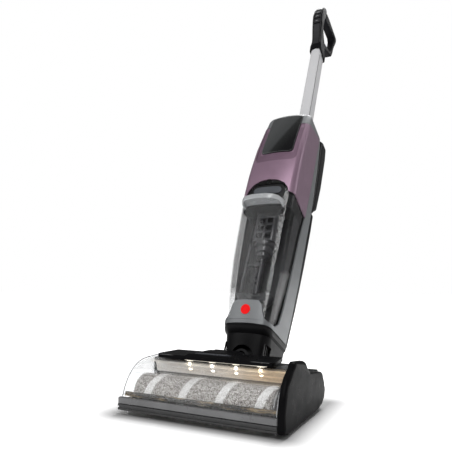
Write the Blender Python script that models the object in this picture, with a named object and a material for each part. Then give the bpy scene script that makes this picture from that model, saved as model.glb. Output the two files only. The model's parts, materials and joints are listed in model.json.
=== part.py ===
"""Cordless upright wet floor cleaner: a wide brush head with a clear window, a tilting slim body with
a smoky dirty-water tank, a rear clean-water tank, an extruded tube and a D-loop grip with buttons.

Helpers take millimetres and scale them once by MM. The head is modelled in head coordinates
(x right, y back from the bumper's front face, z up from the floor). The body is modelled upright in
body coordinates (x right, w back, s up from the recline hinge) under a tilted empty.
"""
import math

import bpy
from mathutils import Vector

MM = 0.001
GAP = 0.35                       # running gap between neighbouring pieces

# Overall layout
ROOT_X = -1.5                    # these two centre the whole machine over the origin
ROOT_Y = -417.81
PIVOT_X = 2.2                    # the body stands a little off the head's middle
PIVOT_Y = 200.0                  # recline hinge behind the bumper face
PIVOT_Z = 35.0
RECLINE_DEG = 27.5               # how far the body leans back at rest

# Head
HEAD_LEFT = -137.0
HEAD_RIGHT = 131.0
ROLLER_Y = 41.0
ROLLER_Z = 29.7
ROLLER_R = 29.0
CORE_R = 20.0
MOTOR_Y = 106.0
MOTOR_Z = 33.0
MOTOR_R = 17.5
WHEEL_Y = 250.0
WHEEL_R = 25.0
WHEEL_X = (60.0, 74.0)
WINDOW_T = 2.4
DECK_FRONT = 60.0
DECK_BACK = 117.0

# Neck
SWIVEL_S = 15.0                  # height of the side-to-side swivel axis above the hinge
BARREL_R = 17.0

# Body sections: s, half width, front w, back w, front corner radius
SECTIONS = (
    (16.0, 39.8, -56.0, 36.0, 26.0),
    (57.0, 43.5, -63.5, 37.0, 23.0),
    (72.0, 45.5, -74.0, 36.0, 19.0),
    (78.0, 46.0, -74.8, 34.0, 18.0),
    (110.0, 48.5, -78.0, 34.0, 16.5),
    (200.0, 52.8, -84.0, 34.0, 16.0),
    (300.0, 55.5, -89.0, 34.0, 15.5),
    (345.0, 57.0, -91.0, 34.0, 15.5),
    (400.0, 57.2, -90.0, 34.0, 15.5),
    (437.0, 57.0, -87.0, 34.0, 15.5),
    (480.0, 56.7, -82.0, 34.0, 15.5),
    (560.0, 54.0, -67.0, 34.0, 15.0),
    (620.0, 48.5, -53.0, 34.0, 14.5),
)
REAR_RADIUS = 10.0
FRONT_BOW = 4.5                  # how far the front face bulges between its corners
RAIL_EDGE = ((79, -42), (90, -25), (123, -20), (162, -18), (214, -15), (278, -11), (345, -4),
             (419, 2), (487, 7), (560, 18), (620, 27))
RAIL_WALL = 3.0
HOUSING_WALL = 2.5
TOP_AT_W0 = 572.0                # slanted joint line between the housing and the top cap
TOP_SLOPE = 0.30
ARCH = ((-46, 300), (-46, 344), (-42, 357), (-34, 368), (-20, 376), (0, 379),
        (20, 376), (34, 368), (42, 357), (46, 344), (46, 300))
NOSE = ((-42, 78.5), (-35, 84), (-31, 96), (-28.5, 107), (-22, 114),
        (22, 114), (28.5, 107), (31, 96), (35, 84), (42, 78.5))
TUBE_W = 41.0
TUBE_HALF_X = 13.0
TUBE_HALF_W = 19.0
TUBE_BASE = 601.0
TUBE_TOP = 931.0
BUTTON_S = 351.5

# Grip: s, w along the bar's front, then the keys up the bar
BAR_FRONT = ((916, 18), (945, 15), (965, 12), (992, 2), (1020, -5), (1040, -7), (1066, -4), (1088, 4))
BUTTONS = ((1018.0, "mode_button"), (1036.0, "spray_button"), (1054.0, "boost_button"),
           (1072.0, "power_button"))

FRAMES = {}


# ---------------------------------------------------------------- general helpers
def clear_scene():
    for item in list(bpy.data.objects):
        bpy.data.objects.remove(item, do_unlink=True)


def material(name, colour, roughness, metallic=0.0, alpha=1.0):
    made = bpy.data.materials.get(name)
    if made is None:
        made = bpy.data.materials.new(name)
        made.use_nodes = True
        shader = made.node_tree.nodes["Principled BSDF"]
        shader.inputs["Base Color"].default_value = (*colour, 1.0)
        shader.inputs["Roughness"].default_value = roughness
        shader.inputs["Metallic"].default_value = metallic
        shader.inputs["Alpha"].default_value = alpha
    return made


def raw_object(name, verts, faces):
    mesh = bpy.data.meshes.new(name)
    mesh.from_pydata([Vector(v) * MM for v in verts], [], faces)
    made = bpy.data.objects.new(name, mesh)
    bpy.context.scene.collection.objects.link(made)
    return made


def bake(target):
    """Turn the object's modifiers into plain mesh."""
    bpy.context.view_layer.update()
    graph = bpy.context.evaluated_depsgraph_get()
    mesh = bpy.data.meshes.new_from_object(target.evaluated_get(graph))
    target.modifiers.clear()
    target.data = mesh
    return target


def boolean(target, tool, operation="DIFFERENCE"):
    """Combine two solids with the exact solver and drop the tool."""
    step = target.modifiers.new("cut", "BOOLEAN")
    step.operation = operation
    step.solver = "EXACT"
    step.object = tool
    bake(target)
    bpy.data.objects.remove(tool, do_unlink=True)
    return target


def join_all(first, others):
    for item in others:
        boolean(first, item, "UNION")
    return first


def cut_all(target, tools):
    for tool in tools:
        boolean(target, tool)
    return target


def soften(target, width, segments=1, angle=35.0):
    step = target.modifiers.new("bevel", "BEVEL")
    step.width = width * MM
    step.segments = segments
    step.limit_method = "ANGLE"
    step.angle_limit = math.radians(angle)
    step.use_clamp_overlap = True
    return bake(target)


def finish(target, name, frame, look, pivot=(0.0, 0.0, 0.0), round_piece=True):
    """Name a solid, put its origin on pivot and hang it on its frame."""
    target.name = name
    target.data.name = name
    shift = Vector(pivot) * MM
    for vertex in target.data.vertices:
        vertex.co -= shift
    target.parent = FRAMES[frame]
    target.location = shift
    target.data.materials.clear()
    target.data.materials.append(look)
    if round_piece:
        target.data.shade_smooth()
        target.data.set_sharp_from_angle(angle=math.radians(38))
    return target


# ---------------------------------------------------------------- shape helpers
def ring_faces(first, second, count, flip=False):
    faces = []
    for i in range(count):
        j = (i + 1) % count
        quad = [first + i, first + j, second + j, second + i]
        faces.append(quad[::-1] if flip else quad)
    return faces


def loft(rings, name="loft"):
    """Closed solid through equal-length rings listed counter-clockwise seen from the last ring."""
    count = len(rings[0])
    verts = [p for ring in rings for p in ring]
    faces = []
    for k in range(len(rings) - 1):
        faces += ring_faces(k * count, (k + 1) * count, count)
    faces.append(list(range(count))[::-1])
    last = (len(rings) - 1) * count
    faces.append(list(range(last, last + count)))
    return raw_object(name, verts, faces)


def shell(outer, inner, name="shell", floor=False):
    """Open-topped wall between two stacks of rings; with floor, the inner stack starts higher."""
    count = len(outer[0])
    verts = [p for ring in outer for p in ring] + [p for ring in inner for p in ring]
    base = len(outer) * count
    faces = []
    for k in range(len(outer) - 1):
        faces += ring_faces(k * count, (k + 1) * count, count)
    for k in range(len(inner) - 1):
        faces += ring_faces(base + k * count, base + (k + 1) * count, count, flip=True)
    top_outer = (len(outer) - 1) * count
    top_inner = base + (len(inner) - 1) * count
    faces += ring_faces(top_outer, top_inner, count)
    if floor:
        faces.append(list(range(count))[::-1])
        faces.append(list(range(base, base + count)))
    else:
        faces += ring_faces(base, 0, count)
    return raw_object(name, verts, faces)


def prism(points, axis, low, high, name="prism"):
    """Extrude a polygon along an axis. Points are (y, z) for x, (x, z) for y and (x, y) for z."""
    def place(p, h):
        if axis == "x":
            return (h, p[0], p[1])
        if axis == "y":
            return (p[0], h, p[1])
        return (p[0], p[1], h)

    area = sum(a[0] * b[1] - b[0] * a[1] for a, b in zip(points, points[1:] + points[:1]))
    ordered = list(points) if area > 0 else list(points)[::-1]
    if axis == "y":
        ordered = ordered[::-1]
    return loft([[place(p, low) for p in ordered], [place(p, high) for p in ordered]], name)


def box(x0, x1, y0, y1, z0, z1, name="box"):
    return prism([(x0, y0), (x1, y0), (x1, y1), (x0, y1)], "z", z0, z1, name)


def arc(cx, cy, radius, start, stop, steps):
    out = []
    for k in range(steps + 1):
        angle = math.radians(start + (stop - start) * k / steps)
        out.append((cx + radius * math.cos(angle), cy + radius * math.sin(angle)))
    return out


def rounded(x0, x1, y0, y1, radius, steps=4):
    points = arc(x1 - radius, y0 + radius, radius, -90, 0, steps)
    points += arc(x1 - radius, y1 - radius, radius, 0, 90, steps)
    points += arc(x0 + radius, y1 - radius, radius, 90, 180, steps)
    points += arc(x0 + radius, y0 + radius, radius, 180, 270, steps)
    return points


def lathe(profile, axis, centre, sides=24, name="lathe"):
    """Solid of revolution; profile is (position along axis, radius) with radii above zero."""
    rings = []
    for along, radius in profile:
        circle = arc(0, 0, radius, 0, 360 - 360 / sides, sides - 1)
        if axis == "x":
            rings.append([(along, centre[0] + a, centre[1] + b) for a, b in circle])
        elif axis == "y":
            rings.append([(centre[0] + b, along, centre[1] + a) for a, b in circle])
        else:
            rings.append([(centre[0] + a, centre[1] + b, along) for a, b in circle])
    return loft(rings, name)


def ring_solid(axis, centre, r_in, r_out, low, high, sides=24, name="ring"):
    """Short tube: a lathe profile that comes back along its bore."""
    def circle(radius, along):
        flat = arc(0, 0, radius, 0, 360 - 360 / sides, sides - 1)
        if axis == "x":
            return [(along, centre[0] + a, centre[1] + b) for a, b in flat]
        if axis == "y":
            return [(centre[0] + b, along, centre[1] + a) for a, b in flat]
        return [(centre[0] + a, centre[1] + b, along) for a, b in flat]
    return shell([circle(r_out, low), circle(r_out, high)],
                 [circle(r_in, low), circle(r_in, high)], name)


# ---------------------------------------------------------------- body sections
def section(s):
    for low, high in zip(SECTIONS, SECTIONS[1:]):
        if s <= high[0]:
            break
    t = (s - low[0]) / (high[0] - low[0])
    t = min(max(t, 0.0), 1.0)
    return [a + (b - a) * t for a, b in zip(low[1:], high[1:])]


def rail_edge(s):
    for low, high in zip(RAIL_EDGE, RAIL_EDGE[1:]):
        if s <= high[0]:
            break
    t = min(max((s - low[0]) / (high[0] - low[0]), 0.0), 1.0)
    return low[1] + (high[1] - low[1]) * t


def outline(s, inset=0.0, steps=5, back=None, rear_radius=REAR_RADIUS):
    """Body outline at height s: wide round front corners and tighter rear corners."""
    half, front, rear, radius = section(s)
    if back is not None:
        rear = back
    half -= inset
    front += inset
    rear -= inset if back is None else 0.0
    radius = max(radius - inset, 3.0)
    small = max(rear_radius - inset, 2.0)
    lean = math.atan(2.0 * FRONT_BOW / (half - radius))
    meet = half - radius + radius * math.sin(lean)
    corner = front + FRONT_BOW + radius * math.cos(lean)
    bow = [(meet * k / 3.0, front + FRONT_BOW * (k / 3.0) ** 2) for k in (-2, -1, 0, 1, 2)]
    start = -90 + math.degrees(lean)
    points = arc(half - radius, corner, radius, start, 0, steps)
    points += arc(half - small, rear - small, small, 0, 90, 3)
    points += arc(-half + small, rear - small, small, 90, 180, 3)
    points += arc(-half + radius, corner, radius, 180, 180 - start, steps)
    points += bow
    return [(x, w, s) for x, w in points]


def top_line(w):
    return TOP_AT_W0 + TOP_SLOPE * w


def above_top_line(shift=0.0):
    points = [(-130, top_line(-130) + shift), (100, top_line(100) + shift), (100, 700), (-130, 700)]
    return prism(points, "x", -90, 90, "above")


def below_top_line(shift=0.0):
    points = [(-130, top_line(-130) + shift), (100, top_line(100) + shift), (100, 400), (-130, 400)]
    return prism(points, "x", -90, 90, "below")


def front_pocket(depth, mask):
    """Everything in front of the body's skin, sunk by depth, inside a front-view mask."""
    pocket = prism(mask, "y", -160, -20, "pocket")
    core = [outline(s, depth) for s in (300, 345, 400, 437, 480, 520, 560, 600, 640)]
    return boolean(pocket, loft(core, "core"))


def offset_points(points, centre, grow):
    """Grow a front-view outline away from a centre by a fixed distance."""
    out = []
    for x, s in points:
        away = Vector((x - centre[0], s - centre[1]))
        away.normalize()
        out.append((x + away.x * grow, s + away.y * grow))
    return out


# ---------------------------------------------------------------- looks
def looks():
    return {
        "black": material("black_plastic", (0.018, 0.018, 0.02), 0.38),
        "dark": material("dark_plastic", (0.035, 0.036, 0.038), 0.5),
        "mauve": material("mauve_housing", (0.36, 0.25, 0.33), 0.32, 0.35),
        "silver": material("silver_grey", (0.24, 0.25, 0.27), 0.35, 0.5),
        "tube": material("light_tube", (0.66, 0.66, 0.68), 0.35, 0.4),
        "gloss": material("gloss_display", (0.03, 0.032, 0.034), 0.12),
        "smoke": material("smoky_clear", (0.20, 0.20, 0.21), 0.1, 0.0, 0.45),
        "clear": material("clear_window", (0.9, 0.9, 0.9), 0.06, 0.0, 0.3),
        "bumper": material("bumper_grey", (0.22, 0.22, 0.23), 0.55),
        "rubber": material("black_rubber", (0.02, 0.02, 0.02), 0.8),
        "steel": material("bright_steel", (0.6, 0.6, 0.6), 0.25, 1.0),
        "pile": material("brush_pile", (0.52, 0.47, 0.44), 0.95),
        "red": material("red_badge", (0.75, 0.02, 0.02), 0.35),
        "led": material("warm_led", (1.0, 0.85, 0.6), 0.3),
        "grey": material("grey_plastic", (0.16, 0.165, 0.17), 0.4),
        "light": material("light_grey", (0.42, 0.43, 0.44), 0.4),
    }


# ---------------------------------------------------------------- head
def window_profile(inset):
    """Side outline of the window, front bottom edge to rear top edge."""
    points = [(5.0, 26.8), (7.5, 34.0), (11.5, 43.0), (17.5, 52.5), (25.0, 61.0), (34.5, 68.5),
              (46.0, 74.0), (60.0, 77.3), (80.0, 78.3), (104.0, 78.5)]
    centre = Vector((60.0, 12.0))
    out = []
    for y, z in points:
        pull = (centre - Vector((y, z))).normalized() * inset
        out.append((y + pull.x, z + pull.y))
    return out


def make_window(look):
    outer = window_profile(0.0)
    inner = window_profile(WINDOW_T)
    band = prism(outer + inner[::-1], "x", HEAD_LEFT + 3.0, 127.6, "band")
    side = [(7.5, 27.0)] + window_profile(0.0)[1:] + [(104.0, 46.0), (84.0, 30.0)]
    end = prism(side, "x", HEAD_LEFT, HEAD_LEFT + 6.0, "end")
    soften(end, 2.2, 2, 60)
    boolean(band, end, "UNION")
    return finish(band, "brush_window", "head", look["clear"])


def make_chassis(look):
    left = -127.0
    right = 129.4
    body = box(left, right, 84.0, 128.0, 6.0, 75.5)
    parts = [
        box(60.0, right, 127.0, 186.0, 6.0, 60.0),
        box(left, -60.0, 127.0, 186.0, 6.0, 60.0),
        box(-61.0, 61.0, 127.0, 212.0, 6.0, 24.0),
    ]
    parts += [prism([(190, 20), (210, 20)] + arc(PIVOT_Y, PIVOT_Z, 7.5, 0, 180, 8),
                    "x", x, x + 9, "fork") for x in (PIVOT_X - 33.0, PIVOT_X + 24.0)]
    parts += [prism([(180, 16), (240, 16)] + arc(WHEEL_Y, WHEEL_R, 9.0, -100, 100, 8)
                    + [(180, 36)], "x", x, x + 7, "arm") for x in (-83.5, 76.5)]
    wall = [(12, 8), (80, 6.2), (90, 6.2), (90, 70), (60, 70), (42, 66), (28, 58), (18, 48), (11, 34)]
    parts.append(prism(wall, "x", 122.0, right, "drive_wall"))
    keeper = [(88, 14), (88, 46), (60, 40)] + arc(ROLLER_Y, ROLLER_Z, 9, 60, 220, 8)
    parts.append(prism(keeper, "x", left, -121.0, "keeper"))
    holes = [
        box(left + 3, right - 10, 87.0, 125.0, -5.0, 72.5),
        box(63.0, right - 3, 124.0, 183.0, -5.0, 57.0),
        box(left + 3, -63.0, 124.0, 183.0, -5.0, 57.0),
        box(-64.0, 64.0, 124.0, 186.0, -5.0, 21.0),
        lathe([(-60, 5.25), (60, 5.25)], "x", (PIVOT_Y, PIVOT_Z), 20),
        lathe([(-90, 3.3), (90, 3.3)], "x", (WHEEL_Y, WHEEL_R), 16),
        lathe([(100, 5.6), (140, 5.6)], "x", (ROLLER_Y, ROLLER_Z), 20),
        lathe([(110, 4.0), (140, 4.0)], "x", (MOTOR_Y, MOTOR_Z), 16),
        lathe([(-140, 5.6), (-100, 5.6)], "x", (ROLLER_Y, ROLLER_Z), 20),
        box(-19.0, 19.0, 110.0, 140.0, 26.5, 55.0),
        box(-17.0, 17.0, 80.0, 90.0, 28.5, 53.0),
        box(PIVOT_X - 20.0, PIVOT_X + 20.0, 176.0, 216.0, 12.5, 30.0),
    ]
    join_all(body, parts)
    cut_all(body, holes)
    scraper = prism([(68.6, 50.5), (85.0, 50.5), (85.0, 54.0), (70.0, 52.4)], "x", -117.0, 117.0)
    cradles = [box(x, x + 10, 86, 126, 6.2, 14.8) for x in (40, 92)]
    join_all(body, [scraper] + cradles)
    return finish(body, "head_chassis", "head", look["black"], round_piece=False)


def make_duct(look):
    outer = [rounded(-18.5, 18.5, 27.0, 54.5, 6), rounded(-16.5, 16.5, 29.0, 52.5, 5)]
    duct = shell([[(x, y, z) for x, z in outer[0][::-1]] for y in (88.0, 136.5)],
                 [[(x, y, z) for x, z in outer[1][::-1]] for y in (88.0, 136.5)], "duct")
    return finish(duct, "suction_duct", "head", look["dark"])


def make_light_bar(look):
    left, right = -104.0, 98.0
    mid_left, mid_right = -53.0, 41.0
    wings = prism([(left, DECK_FRONT + 2), (mid_left - 6, DECK_FRONT), (mid_right + 6, DECK_FRONT),
                   (right, DECK_FRONT + 2), (right + 3, DECK_FRONT + 10), (right - 4, DECK_BACK),
                   (left + 4, DECK_BACK), (left - 3, DECK_FRONT + 10)], "z", 80.6, 86.6, "wings")
    centre = loft([
        [(mid_left, DECK_FRONT + 0.6, 86.0), (mid_right, DECK_FRONT + 0.6, 86.0),
         (30, DECK_BACK, 86.0), (-42, DECK_BACK, 86.0)],
        [(mid_left + 7, DECK_FRONT + 3.0, 90.0), (mid_right - 7, DECK_FRONT + 3.0, 90.0),
         (24, DECK_BACK, 90.0), (-36, DECK_BACK, 90.0)]], "centre")
    spine = loft([
        [(-34, 78, 89.6), (28, 78, 89.6), (22, DECK_BACK, 89.6), (-28, DECK_BACK, 89.6)],
        [(-31, 82, 91.4), (25, 82, 91.4), (19, DECK_BACK, 91.4), (-25, DECK_BACK, 91.4)]], "spine")
    join_all(wings, [centre, spine])
    hollow = box(left + 3, right - 3, DECK_BACK - 28, DECK_BACK - 3, 70.0, 82.5)
    boolean(wings, hollow)
    soften(wings, 0.9, 1, 30)
    return finish(wings, "light_bar", "head", look["black"], round_piece=False)


def make_leds(look):
    spots = [(-43.0 + 41.0 * k) for k in range(4)]
    strip = box(spots[0] - 9, spots[-1] + 9, 61.5, 65.5, 79.9, 80.3, "strip")
    for x in spots:
        lens = rounded(x - 6.0, x + 6.0, 60.4, 65.0, 2.0, 1)
        boolean(strip, prism(lens, "z", 79.0, 80.2, "led"), "UNION")
    return finish(strip, "led_strip", "head", look["led"])


def cap_profile(inset=0.0):
    points = [(0, 7), (-1, 14), (0, 30), (4, 50), (12, 65), (24, 77), (38, 84.5), (44, 91), (50, 93),
              (88, 89), (96, 86.5), (108, 74), (118, 68), (176, 59), (183, 55), (191, 40), (195, 27),
              (190, 17), (176, 8), (158, 4), (15, 3)]
    centre = Vector((95.0, 40.0))
    out = []
    for y, z in points:
        pull = (centre - Vector((y, z))).normalized() * inset
        out.append((y + pull.x, z + pull.y))
    return out[::-1]


def make_end_cap(look):
    """Drive-side cover: hollow towards the belt, with a rounded outer rim."""
    outer = [[(x, y, z) for y, z in cap_profile(inset)[::-1]]
             for x, inset in ((130.0, 0.6), (131.5, 0.0), (135.5, 0.0), (138.6, 1.8), (140.0, 5.5))]
    cap = loft(outer, "cap")
    pocket = [(14, 8), (14, 50), (44, 66), (90, 66), (160, 55), (178, 46), (178, 12)]
    boolean(cap, prism(pocket, "x", 120.0, 137.8, "pocket"))
    return finish(cap, "drive_cap", "head", look["black"])


def make_bumper(look):
    band = rounded(HEAD_LEFT, HEAD_RIGHT - 1.2, 0.8, 8.5, 3.0)
    bumper = prism(band, "z", 16.3, 25.9, "bumper")
    soften(bumper, 0.9, 1, 50)
    ties = [box(-126.5, -121.5, 7.5, 31.5, 17.0, 24.0), box(122.5, 129.0, 7.5, 10.4, 17.0, 24.0)]
    join_all(bumper, ties)
    finish(bumper, "front_bumper", "head", look["bumper"])
    ribs = []
    for k in range(3):
        depth = 0.0 if k != 1 else 1.3
        low = 7.2 + 2.9 * k
        ribs.append(prism(rounded(HEAD_LEFT + depth, HEAD_RIGHT - 1.2, depth, 8.5, 3.0), "z",
                          low, low + 2.95, "rib"))
    strip = join_all(ribs[0], ribs[1:])
    finish(strip, "bumper_strip", "head", look["rubber"])


def make_brush(look):
    axis = (ROLLER_Y, ROLLER_Z)
    core = lathe([(-125.5, 5.0), (-118.5, 5.0), (-118.4, CORE_R + 3), (-116.6, CORE_R + 3),
                  (-116.5, CORE_R), (116.5, CORE_R), (116.6, CORE_R + 3), (118.4, CORE_R + 3),
                  (118.5, 5.0), (137.2, 5.0)], "x", axis, 24, "core")
    finish(core, "brush_core", "head", look["light"], (0, *axis))
    sleeve = ring_solid("x", axis, CORE_R + 0.35, ROLLER_R, -116.1, 116.1, 36, "sleeve")
    finish(sleeve, "brush_sleeve", "head", look["pile"], (0, *axis))
    pulley = ring_solid("x", axis, 5.35, 14.0, 130.4, 137.0, 24, "pulley")
    finish(pulley, "brush_pulley", "head", look["dark"], (0, *axis))


def make_drive(look):
    axis = (MOTOR_Y, MOTOR_Z)
    can = lathe([(30, 13.0), (33, MOTOR_R), (108, MOTOR_R), (110.5, 13.0)], "x", axis, 24, "can")
    finish(can, "brush_motor", "head", look["steel"])
    shaft = lathe([(111.0, 2.5), (129.8, 2.5), (130.4, 8.0), (137.0, 8.0)], "x", axis, 20, "pinion")
    finish(shaft, "motor_pulley", "head", look["steel"], (0, *axis))
    outer, inner = belt_loops()
    belt = shell([[(x, y, z) for y, z in outer] for x in (131.0, 136.4)],
                 [[(x, y, z) for y, z in inner] for x in (131.0, 136.4)], "belt")
    finish(belt, "drive_belt", "head", look["rubber"])


def belt_loops():
    """Two loops around both pulleys, the outer one a belt thickness larger."""
    gap = MOTOR_Y - ROLLER_Y
    rise = MOTOR_Z - ROLLER_Z
    span = math.hypot(gap, rise)
    tilt = math.degrees(math.atan2(rise, gap))
    loops = []
    for extra in (1.8, 0.35):
        big = 14.0 + extra
        small = 8.0 + extra
        lean = math.degrees(math.acos((big - small) / span))
        loop = arc(ROLLER_Y, ROLLER_Z, big, tilt + lean, tilt + 360 - lean, 14)
        loop += arc(MOTOR_Y, MOTOR_Z, small, tilt - lean, tilt + lean, 8)
        loops.append(loop)
    return loops


def make_sole(look):
    plate = box(-127.0, 129.0, 85.0, 186.0, 3.2, 5.6)
    finish(plate, "sole_plate", "head", look["steel"], round_piece=False)
    blade = prism([(76.5, 0.0), (78.7, 0.0), (80.2, 8.0), (83.6, 8.0), (83.6, 18.0), (77.6, 18.0),
                   (76.5, 9.0)], "x", -118.0, 118.0, "blade")
    finish(blade, "squeegee", "head", look["rubber"], round_piece=False)


def make_wheels(look):
    for side, name in ((-1, "left"), (1, "right")):
        low, high = sorted((side * WHEEL_X[0], side * WHEEL_X[1]))
        tyre = lathe([(low, WHEEL_R - 2.5), (low + 1.5, WHEEL_R), (high - 1.5, WHEEL_R),
                      (high, WHEEL_R - 2.5)], "x", (WHEEL_Y, WHEEL_R), 32, "tyre")
        bore = lathe([(low - 5, 17.3), (high + 5, 17.3)], "x", (WHEEL_Y, WHEEL_R), 24)
        boolean(tyre, bore)
        finish(tyre, "wheel_tyre_" + name, "head", look["rubber"], (0, WHEEL_Y, WHEEL_R))
        hub = ring_solid("x", (WHEEL_Y, WHEEL_R), 3.4, 17.0, low + 0.8, high - 0.8, 24, "hub")
        finish(hub, "wheel_hub_" + name, "head", look["dark"], (0, WHEEL_Y, WHEEL_R))
        low, high = sorted((side * (WHEEL_X[0] - 2.5), side * 86.0))
        axle = lathe([(low, 3.0), (high, 3.0)], "x", (WHEEL_Y, WHEEL_R), 16, "axle")
        finish(axle, "wheel_axle_" + name, "head", look["steel"])


# ---------------------------------------------------------------- neck
def make_neck(look):
    barrel = lathe([(-36.8, BARREL_R), (21.5, BARREL_R)], "y", (0, SWIVEL_S), 24, "barrel")
    cross = lathe([(-23.6, 8.0), (23.6, 8.0)], "x", (0, 0), 20, "cross")
    boolean(barrel, cross, "UNION")
    boolean(barrel, lathe([(-50, 5.3), (50, 5.3)], "x", (0, 0), 20))
    boolean(barrel, lathe([(-60, 4.3), (60, 4.3)], "y", (0, SWIVEL_S), 16))
    finish(barrel, "neck_knuckle", "body", look["black"])
    pin = lathe([(-35.5, 4.95), (35.5, 4.95)], "x", (0, 0), 16, "pin")
    swivel = lathe([(-43.5, 6.5), (-42.3, 6.5), (-42.2, 4.0), (30.2, 4.0), (30.3, 6.5), (32.5, 6.5)],
                   "y", (0, SWIVEL_S), 16, "swivel")
    finish(pin, "recline_pin", "body", look["steel"])
    finish(swivel, "swivel_pin", "body", look["steel"])
    profile = []
    for k in range(5):
        start = -61.0 + 3.4 * k
        profile += [(start, 13.0), (start + 1.7, 15.0)]
    profile.append((-44.0, 13.0))
    hose = lathe(profile, "y", (0, SWIVEL_S), 16, "hose")
    boolean(hose, lathe([(-70, 10.5), (-30, 10.5)], "y", (0, SWIVEL_S), 16))
    finish(hose, "neck_hose", "body", look["dark"])


# ---------------------------------------------------------------- body
def make_bucket(look):
    outer = loft([outline(s) for s in (16.0, 36.0, 56.8)], "bucket")
    boolean(outer, loft([outline(s, 3.0) for s in (5.0, 36.0, 53.6)], "inside"))
    web = prism([(-35.5, 16), (-41, 55), (41, 55), (35.5, 16)], "y", -42.0, -37.6, "web")
    boolean(outer, web, "UNION")
    arch = prism([(-22, -10)] + arc(0, SWIVEL_S, 22.0, 180, 0, 14) + [(22, -10)], "y", -90, -45)
    boolean(outer, arch)
    boolean(outer, lathe([(-60, 4.3), (60, 4.3)], "y", (0, SWIVEL_S), 16))
    for side in (-1, 1):
        low, high = sorted((side * 36.6, side * 60.0))
        notch = box(low, high, -59.0, -30.0, 17.5, 43.0)
        boolean(outer, notch)
        for k in range(3):
            w = -52.0 + 7.5 * k
            low, high = sorted((side * 36.0, side * 38.2))
            rib = box(low, high, w, w + 3.0, 17.0, 43.5)
            boolean(outer, rib, "UNION")
    finish(outer, "lower_bucket", "body", look["black"])


def make_base_ring(look):
    outer = [outline(57.2, 0.5), outline(61.0, -2.0), outline(67.0, -1.5), outline(71.6, 0.4)]
    ring = loft(outer, "base_ring")
    boolean(ring, prism(rounded(-22, 22, -44, 0, 8), "z", 40, 90, "bore"))
    finish(ring, "base_ring", "body", look["black"])


def tank_opening():
    """Side-view cutter for everything in front of the rails, above the lower band."""
    points = [(-140, 78.8)] + [(w, s) for s, w in RAIL_EDGE] + [(RAIL_EDGE[-1][1], 700), (-140, 700)]
    points[1] = (-42, 78.8)
    return prism(points, "x", -90, 90, "opening")


def make_frame(look):
    levels = (71.95, 79, 110, 150, 200, 250, 300, 345, 400, 437, 480, 520, 560, 600)
    frame = shell([outline(s) for s in levels], [outline(s, RAIL_WALL) for s in levels], "frame")
    nose = boolean(shell([outline(s) for s in levels[1:4]],
                         [outline(s, RAIL_WALL) for s in levels[1:4]], "nose"),
                   prism(list(NOSE), "y", -160, -45, "mask"), "INTERSECT")
    boolean(nose, box(-90, 90, -160, 0, 70, 79.15))
    finish(nose, "nose_plate", "body", look["silver"])
    boolean(frame, tank_opening())
    boolean(frame, box(-42, 42, 14, 60, 84, 700))
    boolean(frame, above_top_line(-GAP))
    finish(frame, "silver_frame", "body", look["silver"])
    badge = lathe([(-86.0, 9.0), (-60.0, 9.0)], "y", (0, 96), 28, "badge")
    plate = loft([outline(s, -1.0) for s in (80, 110, 125)], "plate")
    boolean(plate, loft([outline(s, -GAP) for s in (75, 110, 130)], "inner"))
    boolean(badge, plate, "INTERSECT")
    finish(badge, "nose_badge", "body", look["red"])


def make_inner_frame(look):
    wall = box(-40.5, 40.5, 1.5, 4.0, 85.0, 560.0)
    deck = box(-40.0, 40.0, -52.0, 1.6, 392.0, 395.0)
    boolean(wall, deck, "UNION")
    boolean(wall, lathe([(385, 15.0), (400, 15.0)], "z", (0, -24), 20))
    feet = [box(x, x + 8, -6, 20, 72.1, 87.0) for x in (-34, 26)]
    join_all(wall, [box(-37.5, 37.5, 3.0, 42.5, 85.5, 91.5)] + feet)
    finish(wall, "inner_frame", "body", look["dark"], round_piece=False)


def make_upper_housing(look):
    levels = (330, 345, 400, 437, 480, 520, 560, 610)
    house = shell([outline(s) for s in levels], [outline(s, HOUSING_WALL) for s in levels], "house")
    behind = [(rail_edge(s) - 0.5, s) for s, _ in RAIL_EDGE[5:]]
    behind = [(behind[0][0], 200)] + behind + [(behind[-1][0], 720), (120, 720), (120, 200)]
    below = prism([(-140, 200), (60, 200), (60, 334), (-8, 336.5), (-82, 346.5), (-140, 347)],
                  "x", -90, 90, "below")
    arch = prism(list(ARCH), "y", -160, -50, "arch")
    panel = prism(rounded(-36.4, 36.4, 455.6, 640, 9), "y", -160, -40, "panel")
    field = front_pocket(1.3, rounded(-46.0, 46.0, 432.0, 700.0, 12))
    cut_all(house, [prism(behind, "x", -90, 90, "behind"), below, arch, panel, field,
                    above_top_line(-GAP)])
    finish(house, "upper_housing", "body", look["mauve"])


def make_display(look):
    levels = (444, 480, 520, 560, 610)
    panel = shell([outline(s, -0.6) for s in levels], [outline(s, 2.0) for s in levels], "panel")
    boolean(panel, prism(rounded(-36.0, 36.0, 456.0, 584.0, 8.6), "y", -160, -30, "mask"), "INTERSECT")
    finish(panel, "display_panel", "body", look["gloss"])


def make_top_cap(look):
    levels = ((530, 0.0), (582, 0.0), (590, 2.0), (595, 6.5), (597.0, 15.0))
    cap = loft([outline(s, inset) for s, inset in levels], "cap")
    hollow = boolean(loft([outline(s, 4.0) for s in (500, 560, 586)], "hollow"),
                     box(-90, 90, 14, 90, 480, 600))
    pocket = front_pocket(2.35, rounded(-36.4, 36.4, 455.6, 584.4, 9))
    cut_all(cap, [below_top_line(0.0), box(-26.6, 26.6, 19.4, 80, 500, 700), hollow, pocket])
    finish(cap, "top_cap", "body", look["silver"])


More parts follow.
